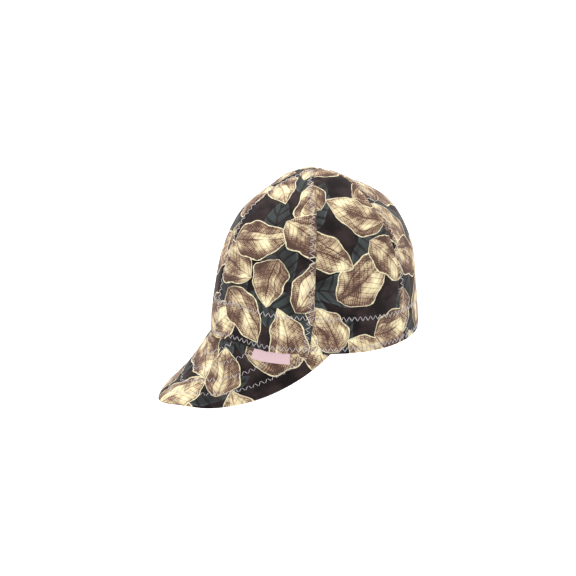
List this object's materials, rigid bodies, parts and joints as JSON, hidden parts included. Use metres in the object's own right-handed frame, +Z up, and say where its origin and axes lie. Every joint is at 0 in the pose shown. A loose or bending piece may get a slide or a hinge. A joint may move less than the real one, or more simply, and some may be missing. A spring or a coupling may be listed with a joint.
{
  "type": "welding cap",
  "caption": "Soft cotton cap worn under a welding hood: rounded crown of sewn panels, short drooping peak, sweatband inside, open below for the head.",
  "frame": {"origin": "middle of the hem's outline at the level of the hem, where a head goes in", "axes": "+Z up to the top of the crown, the peak points along -Y, +X is the wearer's left"},
  "size_m": [0.1866, 0.2638, 0.2044],
  "materials": {
    "printed_cotton": "matt woven cotton, near-black ground with a cream, tan and brown leaf print",
    "plain_cotton": "matt woven cotton, plain near-black",
    "tag_tape": "smooth folded tape, pale pink, blank"
  },
  "bodies": {
    "root": {"panel_front_left": "printed_cotton", "panel_side_left": "printed_cotton", "panel_back_left": "printed_cotton", "panel_back_right": "printed_cotton", "panel_side_right": "printed_cotton", "panel_front_right": "printed_cotton", "sweatband": "plain_cotton", "peak_upper": "printed_cotton", "peak_under": "printed_cotton", "side_tag": "tag_tape"}
  },
  "joints": []
}
